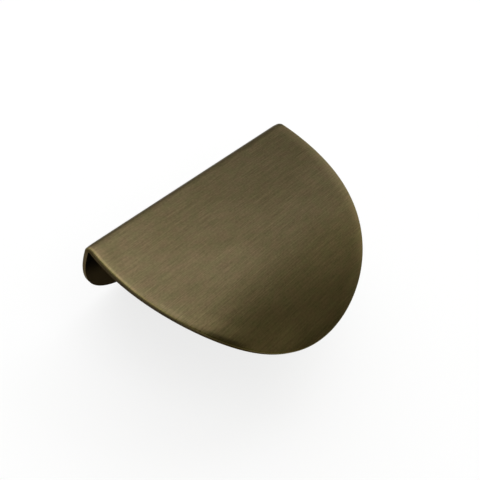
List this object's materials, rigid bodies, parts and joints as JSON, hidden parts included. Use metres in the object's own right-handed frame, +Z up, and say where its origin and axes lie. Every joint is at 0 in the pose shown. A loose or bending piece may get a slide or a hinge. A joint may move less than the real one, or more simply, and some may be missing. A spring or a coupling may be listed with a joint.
{
  "type": "cabinet pull",
  "caption": "Edge pull folded from one round sheet-metal blank: a leg screws behind a door, the grip passes over its edge and curves down into a finger lip.",
  "frame": {"origin": "on the leg's front side, which lies against the door's back, midway between the two screw holes", "axes": "+X along the fold, -Y forward from the leg through the door to the lip, +Z up the leg to the grip"},
  "size_m": [0.076, 0.0458, 0.0307],
  "materials": {
    "aged_brass": "aged and brushed along the fold, with rubbed edges"
  },
  "bodies": {
    "root": {"pull_plate": "aged_brass"}
  },
  "joints": []
}
